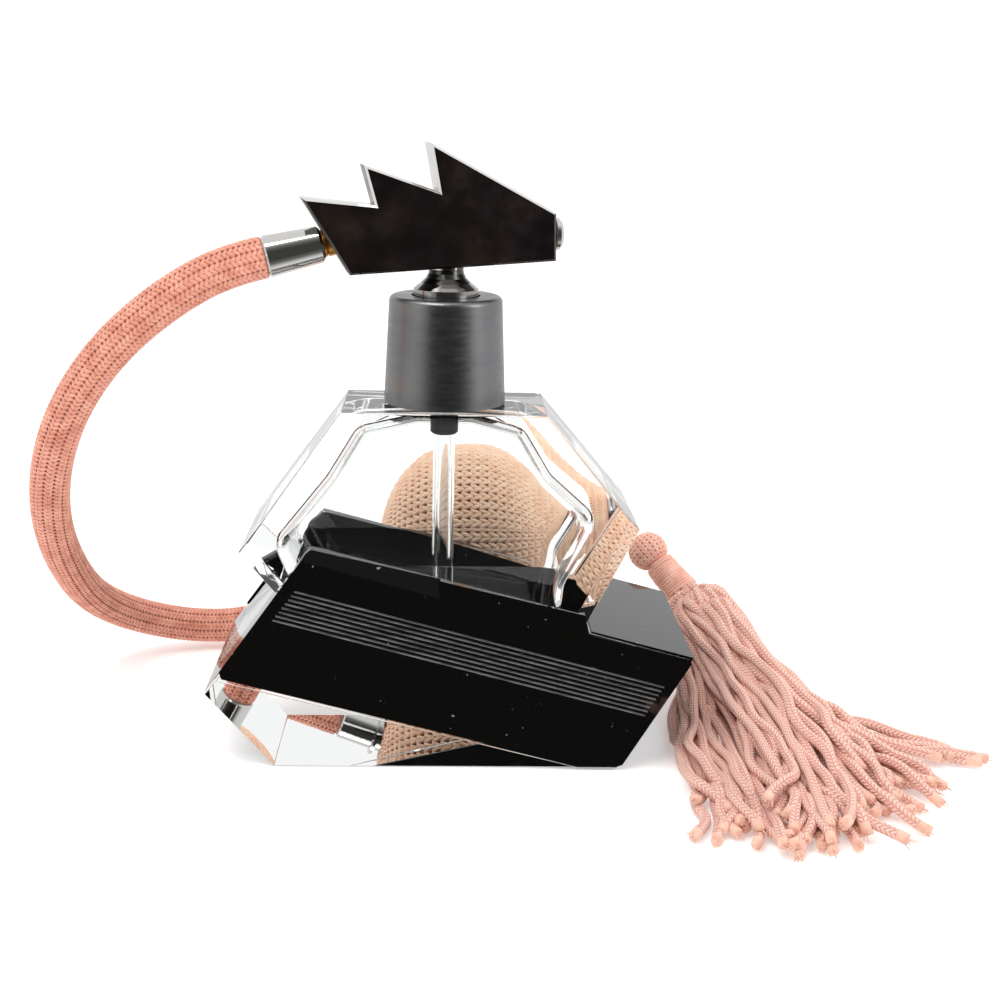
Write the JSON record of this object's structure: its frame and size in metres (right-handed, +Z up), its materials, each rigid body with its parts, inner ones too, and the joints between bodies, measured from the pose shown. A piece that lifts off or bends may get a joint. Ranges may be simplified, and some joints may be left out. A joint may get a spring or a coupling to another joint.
{
  "type": "perfume bottle",
  "caption": "Faceted crystal perfume bottle with black enamel panels, a screw collar, a toothed sprayer head and a braided hose to a netted squeeze bulb with a tassel.",
  "frame": {"origin": "on the base plane, under the neck's axis, at the middle of the bottle's depth", "axes": "+X along the bottle's broad face towards the nozzle side, +Y from the front face to the back where the bulb lies, +Z up along the neck"},
  "size_m": [0.1914, 0.131, 0.1209],
  "materials": {
    "crystal": "cut and polished clear crystal",
    "black_enamel": "glossy fired black enamel with ground silver lines",
    "pewter_metal": "satin dark nickel, worn",
    "plated_metal": "polished nickel plate, slightly tarnished",
    "head_metal": "polished dark nickel plate, slightly tarnished",
    "brass_metal": "aged brass",
    "black_rubber": "matt",
    "dark_rubber": "matt",
    "bulb_rubber": "matt",
    "clear_tube": "clear tube",
    "braid": "herringbone braid",
    "knit": "stocking-stitch knitted net",
    "thread": "knitted silk cords"
  },
  "bodies": {
    "bottle": {"glass_bottle": "crystal", "glass_neck": "crystal", "front_enamel": "black_enamel", "rear_enamel": "black_enamel", "end_enamel": "black_enamel", "neck_ring": "pewter_metal"},
    "seal": {"gasket": "black_rubber"},
    "stem": {"stem": "plated_metal", "stem_nut": "brass_metal", "tube_socket": "dark_rubber", "dip_tube": "clear_tube"},
    "collar": {"collar": "pewter_metal"},
    "head": {"head_body": "head_metal", "jet_tube": "brass_metal", "hose_nipple": "brass_metal"},
    "nozzle": {"nozzle_tip": "plated_metal"},
    "ferrule": {"hose_ferrule": "plated_metal"},
    "bulb": {"hose": "braid", "bulb_ferrule": "plated_metal", "rubber_bulb": "bulb_rubber", "net_cover": "knit"},
    "tail": {"tail_valve": "plated_metal"},
    "valve": {"valve_disc": "dark_rubber"},
    "tassel": {"tassel_loop": "thread", "tassel_knob": "knit", "tassel_binding": "thread", "tassel_skirt": "thread"}
  },
  "joints": [
    {"name": "sprayer_lift", "type": "slide", "parent": "bottle", "child": "seal", "axis": [0, 0, 1], "range_m": [0, 0.075]},
    {"name": "thread_rise", "type": "slide", "parent": "seal", "child": "stem", "axis": [0, 0, 1], "range_m": [0, 0.004]},
    {"name": "collar_turn", "type": "hinge", "parent": "stem", "child": "collar", "pos_m": [0, 0, 0.08], "axis": [0, 0, 1], "range_deg": [0, 720]},
    {"name": "head_swivel", "type": "hinge", "parent": "stem", "child": "head", "pos_m": [0, 0, 0.098], "axis": [0, 0, 1], "range_deg": [-40, 40]},
    {"name": "nozzle_turn", "type": "hinge", "parent": "head", "child": "nozzle", "pos_m": [0.02058, 0.00363, 0.1038], "axis": [0.9847, 0.1736, 0.0156], "range_deg": [0, 360]},
    {"name": "ferrule_turn", "type": "hinge", "parent": "head", "child": "ferrule", "pos_m": [-0.02885, -0.00509, 0.1005], "axis": [-0.9596, -0.1692, -0.225], "range_deg": [0, 720]},
    {"name": "hose_flex", "type": "hinge", "parent": "head", "child": "bulb", "pos_m": [0, 0, 0.098], "axis": [0, 0, 1], "range_deg": [-40, 40], "deforming": ["hose"]},
    {"name": "bulb_squeeze", "type": "slide", "parent": "bulb", "child": "tail", "axis": [-1, 0, 0], "range_m": [0, 0.003], "stiffness_N_per_m": 400, "deforming": ["rubber_bulb", "net_cover"]},
    {"name": "inlet_valve", "type": "slide", "parent": "tail", "child": "valve", "axis": [-1, 0, 0], "range_m": [0, 0.0007]},
    {"name": "tassel_swing", "type": "hinge", "parent": "tail", "child": "tassel", "pos_m": [0.0415, 0.0468, 0.0255], "axis": [1, 0, 0], "range_deg": [-60, 0]}
  ],
  "couplings": [
    {"joint": "thread_rise", "follows": "collar_turn", "m_per_rad": 0.00031831},
    {"joint": "hose_flex", "follows": "head_swivel", "ratio": -1}
  ]
}
